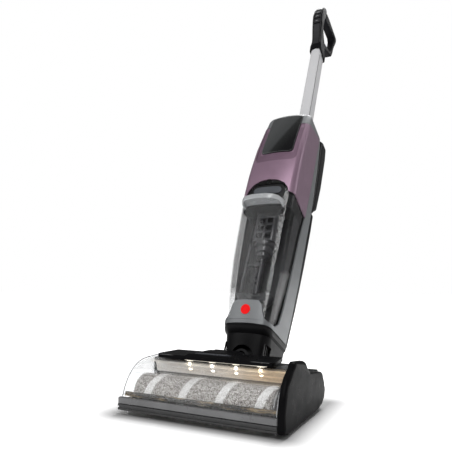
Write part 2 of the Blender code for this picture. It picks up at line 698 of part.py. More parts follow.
def make_socket(look):
    block = loft([[(x, w, s) for x, w in rounded(-26, 26, 20.0, back, 8)]
                  for s, back in ((597.4, 82.0), (605.0, 79.0), (612.0, 71.0), (616.5, 64.5))],
                 "block")
    bore = prism(rounded(-13.4, 13.4, TUBE_W - 19.4, TUBE_W + 19.4, 5), "z", TUBE_BASE - 0.35, 700)
    boolean(block, bore)
    finish(block, "tube_socket", "body", look["black"])


def make_back_cover(look):
    """Rear spine cover, hollow towards the battery."""
    levels = (72.6, 80, 150, 250, 340, 378)
    rings = []
    hollow = []
    for s in levels:
        half, _, rear, _ = section(max(s, 72))
        depth = 47.0 + 6.0 * min(max((s - 80.0) / 200.0, 0.0), 1.0)
        rings.append([(x, w, s) for x, w in rounded(-half + 5, half - 5, rear + GAP, depth + 3, 5)])
        wide = half - 7.5
        hollow.append([(x, w, s) for x, w in rounded(-wide, wide, rear - 20, depth + 0.5, 4)])
    hollow[0] = [(x, w, 75.2) for x, w, _ in hollow[0]]
    hollow[-1] = [(x, w, 375.5) for x, w, _ in hollow[-1]]
    cover = boolean(loft(rings, "cover"), loft(hollow, "hollow"))
    finish(cover, "back_cover", "body", look["black"])


def make_inside(look):
    cells = [lathe([(94, 9.0), (162, 9.0)], "z", (x, w), 12, "cell")
             for x in (-28.5, -9.5, 9.5, 28.5) for w in (15.0, 34.2)]
    pack = box(-37.5, 37.5, 6.0, 43.2, 92.0, 96.0)
    finish(join_all(pack, cells), "battery_pack", "body", look["steel"])
    board = box(-34.0, 34.0, 6.0, 8.0, 175.0, 300.0)
    finish(board, "control_board", "body", look["dark"], round_piece=False)
    pump = lathe([(180, 11.0), (184, 12.5), (222, 12.5), (226, 6.0), (236, 4.0)], "z", (-18, 26), 18)
    finish(pump, "water_pump", "body", look["dark"])
    can = lathe([(402, 20.0), (406, 27.0), (430, 27.0), (433, 23.0), (462, 23.0), (466, 10.0)],
                "z", (0, -27), 24, "can")
    finish(can, "suction_motor", "body", look["steel"])


def make_clean_tank(look):
    rows = ((379.0, 0.6), (392.0, 15.0), (405.0, 31.0), (470.0, 40.0), (560.0, 46.0), (588.0, 42.0))
    outer = []
    inner = []
    for s, depth in rows:
        wide = 54.5 if s < 500 else 53.0
        back = 41.0 + depth
        outer.append([(x, w, s) for x, w in
                      rounded(-wide, wide, 34.6, back, min(14, (back - 34.6) * 0.45), 4)])
        level = s + (2.5 if s == rows[0][0] else 0.0) - (2.4 if s == rows[-1][0] else 0.0)
        inner.append([(x, w, level) for x, w in
                      rounded(-wide + 2.2, wide - 2.2, 36.8, max(back - 2.2, 38.8),
                              min(12, (max(back - 2.2, 38.8) - 36.8) * 0.45), 4)])
    tank = boolean(loft(outer, "tank"), loft(inner, "inside"))
    boolean(tank, lathe([(574, 9.3), (604, 9.3)], "z", (0, 58), 20))
    finish(tank, "clean_tank", "body", look["black"])
    cap = lathe([(578, 8.9), (588.3, 8.9), (588.35, 13.0), (596.2, 13.0), (596.9, 11.5)],
                "z", (0, 58), 20, "cap")
    finish(cap, "clean_tank_cap", "body", look["grey"])


def tank_rings(levels, inset):
    rings = []
    for s in levels:
        slip = 3.6 if s <= 118 else max(3.6 - (s - 118) * 0.03, 1.0)
        back = rail_edge(max(s, 90)) - 1.4 - inset
        rings.append(outline(s, slip + inset, back=back, rear_radius=8.0))
    return rings


def make_dirty_tank(look):
    levels = (79.4, 84.0, 118, 160, 200, 250, 300, 345, 392)
    outer = tank_rings(levels, 0.0)
    outer[0] = [(x * 0.97, w * 0.97 - 1.2, s) for x, w, s in outer[0]]
    inner = tank_rings((82.0, 118, 160, 200, 250, 300, 345, 392), 2.0)
    tank = shell(outer, inner, "tank", floor=True)
    above = prism([(-140, 346.0), (-82, 345.5), (-8, 335.5), (60, 333), (60, 500), (-140, 500)],
                  "x", -90, 90, "above")
    arch = offset_points(list(ARCH), (0, 300), -0.8)
    arch[0] = (arch[0][0], 320)
    arch[-1] = (arch[-1][0], 320)
    boolean(above, prism(arch, "y", -160, -60, "arch"))
    boolean(tank, above)
    boolean(tank, prism(rounded(-37, 37, 331.5, 367, 10), "y", -160, -50, "recess"))
    finish(tank, "dirty_tank", "body", look["smoke"])


def make_tank_lid(look):
    lid = loft(tank_rings((312.0, 330.0, 345.0, 366.0), 2.4), "lid")
    arch = [(x * 0.92, s - 3.5) for x, s in ARCH]
    arch[0] = (arch[0][0], 300)
    arch[-1] = (arch[-1][0], 300)
    above = prism([(-140, 343.0), (-82, 342.5), (-8, 332.5), (60, 330), (60, 500), (-140, 500)],
                  "x", -90, 90, "above")
    boolean(above, prism(arch, "y", -160, -58, "arch"))
    boolean(lid, above)
    boolean(lid, prism(rounded(-31, 31, BUTTON_S - 9.4, BUTTON_S + 9.4, 9.2), "y", -160, -79.0))
    boolean(lid, lathe([(300, 13), (400, 13)], "z", (0, -24), 20))
    boolean(lid, loft(tank_rings((300.0, 328.0), 6.0), "hollow"))
    finish(lid, "tank_lid", "body", look["black"])
    face = loft(tank_rings((334.0, 351.0, 368.0), 0.2), "face")
    button = prism(rounded(-30, 30, BUTTON_S - 8.4, BUTTON_S + 8.4, 8.2), "y", -100, -82.5)
    boolean(button, face, "INTERSECT")
    soften(button, 0.8, 1, 50)
    finish(button, "release_button", "body", look["grey"], (0, -82.5, BUTTON_S))


def make_spout(look):
    lip = prism([(-42, -80), (-42, -100), (-38, -111), (-29, -118), (-13, -121.5), (13, -121.5),
                 (29, -118), (38, -111), (42, -100), (42, -80)], "z", 308.5, 319.0, "lip")
    under = prism([(-39, -70), (-39, -100), (-35.5, -109), (-27, -115.3), (-13, -118.5),
                   (13, -118.5), (27, -115.3), (35.5, -109), (39, -100), (39, -70)],
                  "z", 300.0, 316.4, "under")
    boolean(lip, under)
    boolean(lip, loft(tank_rings((295.0, 330.0), -GAP), "body_form"))
    finish(lip, "pour_lip", "body", look["light"], round_piece=False)


def make_separator(look):
    grid = shell([[(x, w, s) for x, w in rounded(-24, 24, -66, -30, 8)] for s in (246.0, 311.6)],
                 [[(x, w, s) for x, w in rounded(-21.5, 21.5, -63.5, -32.5, 6)]
                  for s in (246.0, 311.6)], "cage")
    for row in range(3):
        low = 251.0 + 18.0 * row
        for x in (-15.5, 2.0):
            boolean(grid, box(x, x + 13.5, -80, -20, low, low + 13.0))
        boolean(grid, box(-40, 40, -55.0, -41.0, low, low + 13.0))
    finish(grid, "separator_cage", "body", look["dark"], round_piece=False)
    cone = lathe([(212, 8.0), (216, 13.0), (224, 13.0), (226, 17.0), (236, 17.0), (238, 21.5),
                  (245.6, 21.5)], "z", (0, -47), 22, "cone")
    finish(cone, "separator_cone", "body", look["dark"])
    pipes = [lathe([(86, 6.0), (211.6, 6.0)], "z", (0, -47), 14, "pipe"),
             lathe([(137, 3.2), (240, 3.2)], "z", (-26, -58), 10, "pipe")]
    clip = box(-27.0, 0.0, -56.5, -46.5, 195.0, 200.0)
    finish(join_all(pipes[0], [pipes[1], clip]), "riser_pipes", "body", look["dark"])
    tray = loft([[(x, w, s) for x, w in rounded(-35 + 9 * k, 35 - 9 * k, -64 + 4 * k, -32, 6)]
                 for s, k in ((118.0, 1), (134.0, 0))], "tray")
    boolean(tray, loft([[(x, w, s) for x, w in rounded(-30 + 9 * k, 30 - 9 * k, -60 + 4 * k, -36, 5)]
                        for s, k in ((122.0, 0.8), (140.0, -0.2))], "hollow"))
    boolean(tray, lathe([(100, 6.4), (150, 6.4)], "z", (0, -47), 14))
    finish(tray, "debris_strainer", "body", look["dark"])


# ---------------------------------------------------------------- tube and grip
def make_tube(look):
    groove = 1.8
    x0, x1 = -TUBE_HALF_X, TUBE_HALF_X
    w0, w1 = TUBE_W - TUBE_HALF_W, TUBE_W + TUBE_HALF_W
    crease = ((x1 - groove, w0 + 5.6), (x1, w0 + 7.0))
    outer = arc(x1 - 4, w0 + 4, 4, -90, 0, 3) + list(crease)
    outer += arc(x1 - 4, w1 - 4, 4, 0, 90, 3) + arc(x0 + 4, w1 - 4, 4, 90, 180, 3)
    outer += [(-x, w) for x, w in crease[::-1]] + arc(x0 + 4, w0 + 4, 4, 180, 270, 3)
    tube = prism(outer, "z", TUBE_BASE, TUBE_TOP, "tube")
    boolean(tube, prism(rounded(x0 + 2.4, x1 - 2.4, w0 + 2.4, w1 - 2.4, 2.5), "z", 500, 1000))
    finish(tube, "handle_tube", "body", look["tube"])


def make_grip(look):
    bar = [(18, 916), (16.5, 934), (15, 950), (12, 965), (2, 992), (-5, 1020), (-7, 1040), (-4, 1066),
           (3, 1084), (14, 1096), (24, 1100), (30, 1092), (26, 1070), (20, 1045), (19, 1020),
           (25, 1004), (38, 990), (56, 975), (62, 955), (64, 934), (64.5, 912)]
    grip = prism(bar, "x", -16.5, 16.5, "bar")
    soften(grip, 4.0, 2, 50)
    for vertex in grip.data.vertices:
        vertex.co.x *= bar_slimness(vertex.co.z / MM)
    bore = prism(rounded(-13.4, 13.4, TUBE_W - 19.4, TUBE_W + 19.4, 5), "z", 880, TUBE_TOP + 0.35)
    skirt = prism([(-20, 900), (-16, 916), (-9, 925), (0, 928), (9, 925), (16, 916), (20, 900)],
                  "y", -20, 40, "skirt")
    pad = prism(pad_outline(0.35), "x", -8.4, 8.4, "pad_pocket")
    tools = [bore, skirt, pad]
    for s, _ in BUTTONS:
        tools.append(button_solid(s, 0.35, 5.2))
    cut_all(grip, tools)
    finish(grip, "grip_bar", "body", look["dark"])


def bar_slimness(s):
    """The bar is widest at the skirt that holds the tube and slimmer where the hand goes."""
    steps = ((934, 1.0), (952, 0.79), (985, 0.80), (1040, 0.88), (1100, 0.76))
    if s <= steps[0][0]:
        return 1.0
    for low, high in zip(steps, steps[1:]):
        if s <= high[0]:
            break
    t = min((s - low[0]) / (high[0] - low[0]), 1.0)
    return low[1] + (high[1] - low[1]) * t


def bar_front(s):
    for low, high in zip(BAR_FRONT, BAR_FRONT[1:]):
        if s <= high[0]:
            break
    t = min(max((s - low[0]) / (high[0] - low[0]), 0.0), 1.0)
    return low[1] + (high[1] - low[1]) * t


def pad_outline(grow):
    levels = (942 - grow, 955, 970, 985, 998, 1006 + grow)
    front = [(bar_front(s) - (2.0 if grow else 0.6), s) for s in levels]
    back = [(bar_front(s) + 2.6 + grow, s) for s in levels]
    return front + back[::-1]


def button_solid(s, grow, depth):
    """A low block set square to the bar's front face at height s."""
    half = 6.2 + grow
    wide = 8.2 + grow
    low, high = s - half, s + half
    proud = -1.2 if grow == 0.0 else -6.0
    points = [(bar_front(low) + proud, low), (bar_front(high) + proud, high),
              (bar_front(high) + depth, high), (bar_front(low) + depth, low)]
    return prism(points, "x", -wide, wide, "button")


def make_grip_details(look):
    pad = prism(pad_outline(0.0), "x", -8.0, 8.0, "pad")
    finish(pad, "grip_pad", "body", look["grey"], round_piece=False)
    for s, name in BUTTONS:
        cap = soften(button_solid(s, 0.0, 2.9), 0.6, 1, 50)
        finish(cap, name, "body", look["light"], (0, bar_front(s), s))
    loop = [(31.5, 1096), (60, 1104), (134, 1114), (141, 1109), (141, 1098), (134, 1064),
            (131, 1036), (126, 1018), (118, 1009), (64, 976), (58, 977.5), (45, 988),
            (110, 1017), (116, 1026), (121, 1042), (123, 1066), (126, 1090), (119, 1097),
            (31.5, 1071)]
    arm = soften(prism(loop, "x", -11.5, 11.5, "loop"), 2.4, 2, 50)
    for vertex in arm.data.vertices:
        vertex.co.x *= 1.0 if vertex.co.z > 1090 * MM else 0.8
    finish(arm, "grip_loop", "body", look["black"])
    hook = [(65.2, 950), (82, 954), (87, 962), (86, 972), (82, 972), (80.5, 963), (76, 959),
            (65.2, 957)]
    finish(soften(prism(hook, "x", -5, 5, "hook"), 1.2, 1, 50), "rear_hook", "body", look["light"])


# ---------------------------------------------------------------- assembly
def make_frames():
    head = bpy.data.objects.new("head_frame", None)
    body = bpy.data.objects.new("body_frame", None)
    for item in (head, body):
        bpy.context.scene.collection.objects.link(item)
    head.location = (ROOT_X * MM, ROOT_Y * MM, 0)
    body.parent = head
    body.location = (PIVOT_X * MM, PIVOT_Y * MM, PIVOT_Z * MM)
    body.rotation_euler = (-math.radians(RECLINE_DEG), 0, 0)
    FRAMES["head"] = head
    FRAMES["body"] = body


def main():
    clear_scene()
    make_frames()
    look = looks()
    makers = (make_chassis, make_duct, make_window, make_light_bar, make_leds, make_end_cap,
              make_bumper, make_brush, make_drive, make_sole, make_wheels, make_neck, make_bucket,
              make_base_ring, make_frame, make_inner_frame, make_upper_housing, make_display,
              make_top_cap, make_socket, make_back_cover, make_inside, make_clean_tank,
              make_dirty_tank, make_tank_lid, make_spout, make_separator, make_tube, make_grip,
              make_grip_details)
    for maker in makers:
        maker(look)
    bpy.context.view_layer.update()


main()
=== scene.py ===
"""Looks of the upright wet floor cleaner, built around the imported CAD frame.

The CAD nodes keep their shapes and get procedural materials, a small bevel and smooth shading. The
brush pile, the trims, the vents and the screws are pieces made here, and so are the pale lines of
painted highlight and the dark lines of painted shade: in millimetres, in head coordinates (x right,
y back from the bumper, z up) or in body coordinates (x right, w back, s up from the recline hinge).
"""
import json
import math

import bpy
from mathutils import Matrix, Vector, noise
from mathutils.bvhtree import BVHTree


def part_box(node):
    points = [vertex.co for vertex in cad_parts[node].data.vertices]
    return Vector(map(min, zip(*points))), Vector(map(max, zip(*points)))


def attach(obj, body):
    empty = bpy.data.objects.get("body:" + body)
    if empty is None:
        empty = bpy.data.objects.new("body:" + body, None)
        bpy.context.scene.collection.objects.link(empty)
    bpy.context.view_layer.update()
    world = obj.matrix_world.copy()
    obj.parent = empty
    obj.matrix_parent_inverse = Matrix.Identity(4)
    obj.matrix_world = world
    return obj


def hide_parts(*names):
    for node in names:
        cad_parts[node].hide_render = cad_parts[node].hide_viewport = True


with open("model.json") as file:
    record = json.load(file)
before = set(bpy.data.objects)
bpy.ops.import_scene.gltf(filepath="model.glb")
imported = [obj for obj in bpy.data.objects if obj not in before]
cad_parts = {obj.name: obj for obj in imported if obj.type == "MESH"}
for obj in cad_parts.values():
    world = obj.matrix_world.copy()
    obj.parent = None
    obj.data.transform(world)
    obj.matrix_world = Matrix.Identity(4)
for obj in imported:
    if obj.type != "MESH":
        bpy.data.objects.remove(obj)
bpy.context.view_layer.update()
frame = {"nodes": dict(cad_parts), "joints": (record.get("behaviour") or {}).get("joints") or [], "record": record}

MM = 0.001
RECLINE_AT = (2.2, 200.0, 35.0)          # the hinge in head coordinates
LED_PLACES = [-43.0 + 41.0 * k for k in range(4)]        # the lights along the bar, in head x

JOINTS = {joint["name"]: joint for joint in frame["joints"]}
HINGE = Vector(JOINTS["recline"]["pos_m"])
BACK = Vector(JOINTS["swivel"]["axis"]).normalized()
RIGHT = Vector((1, 0, 0))
UP = RIGHT.cross(BACK).normalized()
HEAD_ORIGIN = HINGE - Vector(RECLINE_AT) * MM


def in_head(x, y, z):
    return HEAD_ORIGIN + Vector((x, y, z)) * MM


def in_body(x, w, s):
    return HINGE + RIGHT * (x * MM) + BACK * (w * MM) + UP * (s * MM)


# ---------------------------------------------------------------- node helpers
class Graph:
    """A material's node tree with short calls for the nodes this script uses."""

    def __init__(self, name):
        self.material = bpy.data.materials.new(name)
        self.material.use_nodes = True
        self.tree = self.material.node_tree
        self.shader = self.tree.nodes["Principled BSDF"]
        self.place = self.tree.nodes.new("ShaderNodeTexCoord").outputs["Object"]

    def link(self, source, target):
        self.tree.links.new(source, target)

    def set(self, **values):
        for key, value in values.items():
            self.shader.inputs[key.replace("_", " ")].default_value = value

    def scaled(self, scale):
        node = self.tree.nodes.new("ShaderNodeMapping")
        node.inputs["Scale"].default_value = scale
        self.link(self.place, node.inputs["Vector"])
        return node.outputs["Vector"]

    def noise(self, scale, detail=3.0, stretch=None, rough=0.55):
        node = self.tree.nodes.new("ShaderNodeTexNoise")
        node.inputs["Scale"].default_value = scale
        node.inputs["Detail"].default_value = detail
        node.inputs["Roughness"].default_value = rough
        self.link(self.scaled(stretch) if stretch else self.place, node.inputs["Vector"])
        return node.outputs["Fac"]

    def cells(self, scale):
        node = self.tree.nodes.new("ShaderNodeTexVoronoi")
        node.inputs["Scale"].default_value = scale
        self.link(self.place, node.inputs["Vector"])
        return node.outputs["Distance"]

    def spread(self, source, low, high, start=0.3, end=0.7):
        """The source's run from start to end mapped to low to high."""
        node = self.tree.nodes.new("ShaderNodeMapRange")
        for key, value in (("From Min", start), ("From Max", end), ("To Min", low), ("To Max", high)):
            node.inputs[key].default_value = value
        self.link(source, node.inputs["Value"])
        return node.outputs["Result"]

    def ramp(self, source, stops):
        """Colours at positions along the source."""
        node = self.tree.nodes.new("ShaderNodeValToRGB")
        ramp = node.color_ramp
        while len(ramp.elements) < len(stops):
            ramp.elements.new(0.5)
        for element, (position, colour) in zip(ramp.elements, stops):
            element.position = position
            element.color = (*colour, 1.0)
        self.link(source, node.inputs["Fac"])
        return node.outputs["Color"]

    def bump(self, *layers):
        """Each layer is (height output, strength, distance in metres)."""
        normal = None
        for height, strength, distance in layers:
            node = self.tree.nodes.new("ShaderNodeBump")
            node.inputs["Strength"].default_value = strength
            node.inputs["Distance"].default_value = distance
            self.link(height, node.inputs["Height"])
            if normal:
                self.link(normal, node.inputs["Normal"])
            normal = node.outputs["Normal"]
        self.link(normal, self.shader.inputs["Normal"])


def tinted(colour, factor):
    return tuple(min(channel * factor, 1.0) for channel in colour)


# ---------------------------------------------------------------- materials
def moulded(name, colour, rough=0.4, grain=1400.0, depth=0.25, coat=0.0, level=0.1):
    """Moulded plastic: fine spark-eroded grain, slow shifts of tone and of gloss."""
    g = Graph(name)
    g.set(Coat_Weight=coat, Coat_Roughness=0.12, Specular_IOR_Level=level)
    slow = g.noise(22.0, 4.0)
    g.link(g.ramp(slow, ((0.3, tinted(colour, 0.82)), (0.7, tinted(colour, 1.22)))),
           g.shader.inputs["Base Color"])
    g.link(g.spread(g.noise(60.0), rough - 0.05, rough + 0.07), g.shader.inputs["Roughness"])
    g.bump((g.noise(grain, 2.0), depth, 0.00012), (g.noise(160.0, 2.0), 0.06, 0.0003))
    return g.material


def painted(name, colour, shine, rough=0.3, metallic=0.55, coat=0.55):
    """Paint under lacquer, metallic or plain: flakes of a lighter tint and a faint orange peel."""
    g = Graph(name)
    g.set(Metallic=metallic, Coat_Weight=coat, Coat_Roughness=0.1, IOR=1.5)
    flakes = g.cells(5200.0)
    g.link(g.ramp(flakes, ((0.05, shine), (0.35, colour), (0.8, tinted(colour, 0.86)))),
           g.shader.inputs["Base Color"])
    g.link(g.spread(g.noise(45.0), rough - 0.04, rough + 0.06), g.shader.inputs["Roughness"])
    g.bump((g.noise(900.0, 1.0), 0.05, 0.0001), (g.noise(90.0, 2.0), 0.05, 0.0004))
    return g.material


def clear(name, colour, rough, alpha, waviness, bend, haze, gloss=0.03):
    """Clear moulded plastic with slight flow marks.

    A thin wall bends the view little, so its index is low and its gloss is a coat.
    """
    g = Graph(name)
    g.set(Transmission_Weight=1.0 - haze, IOR=bend, Alpha=alpha, Coat_Weight=1.0, Coat_Roughness=gloss)
    slow = g.noise(14.0, 3.0)
    g.link(g.ramp(slow, ((0.3, tinted(colour, 0.93)), (0.7, tinted(colour, 1.05)))),
           g.shader.inputs["Base Color"])
    g.link(g.spread(g.noise(70.0), rough, rough + 0.03), g.shader.inputs["Roughness"])
    g.bump((g.noise(26.0, 2.0, (0.3, 1.0, 1.0)), waviness, 0.0008))
    return g.material


def frosted(name, colour, rough, alpha):
    """Smoky plastic lit from behind: part body colour, part see-through."""
    g = Graph(name)
    g.set(Transmission_Weight=0.15, IOR=1.2, Alpha=alpha, Coat_Weight=0.5, Coat_Roughness=0.05)
    g.link(g.ramp(g.noise(30.0), ((0.3, tinted(colour, 0.94)), (0.7, tinted(colour, 1.06)))),
           g.shader.inputs["Base Color"])
    g.link(g.spread(g.noise(80.0), rough - 0.04, rough + 0.04), g.shader.inputs["Roughness"])
    g.bump((g.noise(300.0, 1.0), 0.02, 0.0001))
    return g.material


def rubber(name):
    return moulded(name, (0.018, 0.018, 0.019), 0.72, 2100.0, 0.5)


def metal(name, colour, rough, stretch):
    """Bare metal with fine lines along the stretched axis."""
    g = Graph(name)
    g.set(Metallic=1.0)
    lines = g.noise(900.0, 3.0, stretch)
    g.link(g.ramp(lines, ((0.3, tinted(colour, 0.8)), (0.7, tinted(colour, 1.15)))),
           g.shader.inputs["Base Color"])
    g.link(g.spread(lines, rough - 0.06, rough + 0.1), g.shader.inputs["Roughness"])
    g.bump((lines, 0.12, 0.0001))
    return g.material


def pile(name, dark, light, warm):
    """Dense short pile seen as speckle, with clumps that lean."""
    g = Graph(name)
    g.set(Roughness=0.95, Sheen_Weight=0.25, Sheen_Roughness=0.5)
    speck = g.noise(420.0, 6.0, None, 0.85)
    g.link(g.ramp(speck, ((0.4, dark), (0.48, warm), (0.53, light), (0.6, tinted(light, 1.25)))),
           g.shader.inputs["Base Color"])
    g.bump((speck, 0.8, 0.0012), (g.noise(240.0, 3.0), 0.5, 0.001))
    return g.material


def glow(name, colour, strength):
    """A lit diffuser with a faint cell pattern."""
    g = Graph(name)
    g.set(Emission_Color=(*colour, 1.0), Emission_Strength=strength, Roughness=0.2)
    cells = g.cells(700.0)
    g.link(g.ramp(cells, ((0.1, colour), (0.9, tinted(colour, 0.8)))), g.shader.inputs["Base Color"])
    g.bump((cells, 0.2, 0.0002))
    return g.material


def streaked(name, stops, rough, stretch, lit=None):
    """Clear plastic seen edge on: long streaks, lit from left to right by the colours of lit."""
    g = Graph(name)
    g.set(Coat_Weight=0.1, Coat_Roughness=0.2)
    streak = g.noise(140.0, 5.0, stretch, 0.65)
    colour = g.ramp(streak, stops)
    if lit:
        across = g.tree.nodes.new("ShaderNodeSeparateXYZ")
        g.link(g.place, across.inputs[0])
        along = g.ramp(g.spread(across.outputs["X"], 0.0, 1.0, -0.12, 0.12), lit)
        mix = g.tree.nodes.new("ShaderNodeMix")
        mix.data_type = "RGBA"
        mix.blend_type = "MULTIPLY"
        mix.inputs["Factor"].default_value = 1.0
        g.link(colour, mix.inputs[6])
        g.link(along, mix.inputs[7])
        colour = mix.outputs[2]
        g.link(colour, g.shader.inputs["Emission Color"])
        g.set(Emission_Strength=0.35)
    g.link(colour, g.shader.inputs["Base Color"])
    g.link(g.spread(streak, rough, rough + 0.2), g.shader.inputs["Roughness"])
    g.bump((streak, 0.15, 0.0006))
    return g.material


def perforated(name, colour, pitch):
    """Dark plastic with a field of small light-edged holes, pitch metres apart."""
    g = Graph(name)
    dots = g.cells(1.0 / pitch)
    g.link(g.ramp(dots, ((0.16, (0.34, 0.34, 0.34)), (0.26, colour))), g.shader.inputs["Base Color"])
    g.set(Roughness=0.4)
    g.bump((dots, 0.7, 0.0006), (g.noise(900.0), 0.15, 0.0001))
    return g.material


def glossy_panel(name):
    """Piano-black panel under a hard clear coat, lighter along a diagonal: a painted reflection."""
    g = Graph(name)
    g.set(Coat_Weight=0.45, Coat_Roughness=0.03, Roughness=0.25, Specular_IOR_Level=0.1)
    # the panel grows from near black to dark grey along a diagonal: a painted reflection
    slant = g.tree.nodes.new("ShaderNodeVectorMath")
    slant.operation = "DOT_PRODUCT"
    slant.inputs[1].default_value = (-8.0, 0.0, 4.0)
    g.link(g.place, slant.inputs[0])
    painted_reflection = g.spread(slant.outputs["Value"], 0.0, 1.0, 1.55, 2.45)
    g.link(g.ramp(painted_reflection, ((0.3, (0.003, 0.003, 0.0035)), (0.52, (0.012, 0.013, 0.013)),
                         (0.6, (0.04, 0.042, 0.043)), (0.9, (0.055, 0.057, 0.058)))),
           g.shader.inputs["Base Color"])
    g.bump((g.noise(500.0, 1.0), 0.02, 0.0001))
    return g.material


def make_looks():
    """The looks by the name of the record's material slot."""
    along_x = (0.02, 1.0, 1.0)
    along_z = (1.0, 1.0, 0.03)
    return {
        "chassis_plastic": moulded("look_chassis", (0.006, 0.006, 0.0065), 0.5),
        "head_black": moulded("look_head_black", (0.005, 0.005, 0.0055), 0.3, 1500.0, 0.12,
                              level=0.02),
        "window": clear("look_window", (0.8, 0.81, 0.82), 0.01, 0.34, 0.05, 1.12, 0.12),
        "led": glow("look_led", (1.0, 0.93, 0.8), 0.5),
        "bumper": moulded("look_bumper", (0.12, 0.12, 0.123), 0.3, 1300.0, 0.3, 0.2, 0.5),
        "bumper_rubber": moulded("look_bumper_rubber", (0.022, 0.022, 0.023), 0.3, 1800.0, 0.3,
                                 level=0.5),
        "roller_core": metal("look_roller_core", (0.7, 0.7, 0.7), 0.35, along_x),
        "roller_pile": pile("look_pile", (0.04, 0.033, 0.028), (0.55, 0.53, 0.5), (0.24, 0.205, 0.18)),
        "drive": moulded("look_drive", (0.04, 0.04, 0.043), 0.5),
        "belt": rubber("look_belt"),
        "motor_can": metal("look_motor_can", (0.4, 0.4, 0.41), 0.35, along_x),
        "sole_steel": metal("look_sole", (0.55, 0.55, 0.56), 0.32, along_x),
        "pin_steel": metal("look_pin", (0.62, 0.62, 0.63), 0.25, along_x),
        "squeegee_rubber": rubber("look_squeegee"),
        "wheel_rubber": rubber("look_wheel"),
        "wheel_hub": moulded("look_hub", (0.03, 0.03, 0.032), 0.45),
        "body_black": moulded("look_body_black", (0.006, 0.006, 0.0065), 0.34, 1500.0, 0.2),
        "hose": rubber("look_hose"),
        "silver_grey": painted("look_silver", (0.17, 0.178, 0.185), (0.28, 0.29, 0.3), 0.42, 0.3, 0.15),
        "mauve": painted("look_mauve", (0.30, 0.19, 0.265), (0.5, 0.38, 0.46), 0.36),
        "display_gloss": glossy_panel("look_display"),
        "inner_plastic": moulded("look_inner", (0.03, 0.03, 0.032), 0.45),
        "battery": moulded("look_battery", (0.05, 0.08, 0.12), 0.4),
        "board": moulded("look_board", (0.015, 0.07, 0.035), 0.4),
        "motor_alloy": metal("look_motor_alloy", (0.55, 0.55, 0.57), 0.4, along_z),
        "rear_tank": moulded("look_rear_tank", (0.007, 0.007, 0.008), 0.2, 900.0, 0.05, 0.3),
        "tank_cap": moulded("look_tank_cap", (0.06, 0.062, 0.065), 0.42),
        "smoky_clear": clear("look_smoke", (0.56, 0.57, 0.58), 0.01, 0.34, 0.002, 1.02, 0.02, 0.1),
        "lid_black": moulded("look_lid", (0.014, 0.014, 0.015), 0.36),
        "button_grey": moulded("look_button", (0.075, 0.08, 0.09), 0.3, 1500.0, 0.12, 0.4),
        "lip_grey": frosted("look_lip", (0.42, 0.43, 0.44), 0.25, 0.9),
        "separator": moulded("look_separator", (0.045, 0.045, 0.048), 0.3, level=0.5),
        "badge_red": moulded("look_badge", (0.78, 0.004, 0.006), 0.35, 1300.0, 0.1),
        "tube_grey": painted("look_tube", (0.6, 0.6, 0.612), (0.64, 0.64, 0.65), 0.34, 0.0, 0.3),
        "grip_black": moulded("look_grip", (0.006, 0.006, 0.007), 0.55, 1500.0, 0.4, level=0.03),
        "key_light": moulded("look_key_light", (0.36, 0.36, 0.37), 0.3, 1300.0, 0.15, level=0.5),
        "key_grey": moulded("look_key", (0.03, 0.03, 0.032), 0.35, 1300.0, 0.15),
    }


# ---------------------------------------------------------------- CAD nodes: finish
BEVELS = {"upper_housing": 0.35, "silver_frame": 0.5, "nose_plate": 0.5, "top_cap": 1.4,
          "drive_cap": 0.8, "light_bar": 0.4, "lower_bucket": 0.7, "base_ring": 1.2,
          "back_cover": 1.4, "clean_tank": 1.6, "front_bumper": 0.7, "bumper_strip": 0.4,
          "head_chassis": 0.6, "brush_window": 0.7, "dirty_tank": 0.4, "pour_lip": 0.7,
          "grip_bar": 0.5, "grip_loop": 0.5, "release_button": 0.4, "display_panel": 0.6,
          "tank_lid": 0.6, "tube_socket": 1.2, "neck_knuckle": 0.5}        # edge radii in mm
NODE_SHARP = 40.0                # degrees over which an edge of a CAD node is rounded
PIECE_SHARP = 35.0               # the same for a slab
WELD = 0.00002


def bevelled(made, width, sharp):
    modifier = made.modifiers.new("edges", "BEVEL")
    modifier.width = width * MM
    modifier.segments = 2
    modifier.limit_method = "ANGLE"
    modifier.angle_limit = math.radians(sharp)


def smooth_group():
    """Smooth shading with edges over 32 degrees kept sharp."""
    group = bpy.data.node_groups.new("smooth_by_edge", "GeometryNodeTree")
    group.interface.new_socket("Geometry", in_out="INPUT", socket_type="NodeSocketGeometry")
    group.interface.new_socket("Geometry", in_out="OUTPUT", socket_type="NodeSocketGeometry")
    nodes, links = group.nodes, group.links
    start, end = nodes.new("NodeGroupInput"), nodes.new("NodeGroupOutput")
    faces = nodes.new("GeometryNodeSetShadeSmooth")
    edges = nodes.new("GeometryNodeSetShadeSmooth")
    edges.domain = "EDGE"
    edges.inputs["Shade Smooth"].default_value = False
    angle = nodes.new("GeometryNodeInputMeshEdgeAngle")
    compare = nodes.new("FunctionNodeCompare")
    compare.operation = "GREATER_THAN"
    compare.inputs["B"].default_value = math.radians(32)
    links.new(start.outputs[0], faces.inputs["Geometry"])
    links.new(faces.outputs[0], edges.inputs["Geometry"])
    links.new(angle.outputs["Unsigned Angle"], compare.inputs["A"])
    links.new(compare.outputs["Result"], edges.inputs["Selection"])
    links.new(edges.outputs[0], end.inputs[0])
    return group


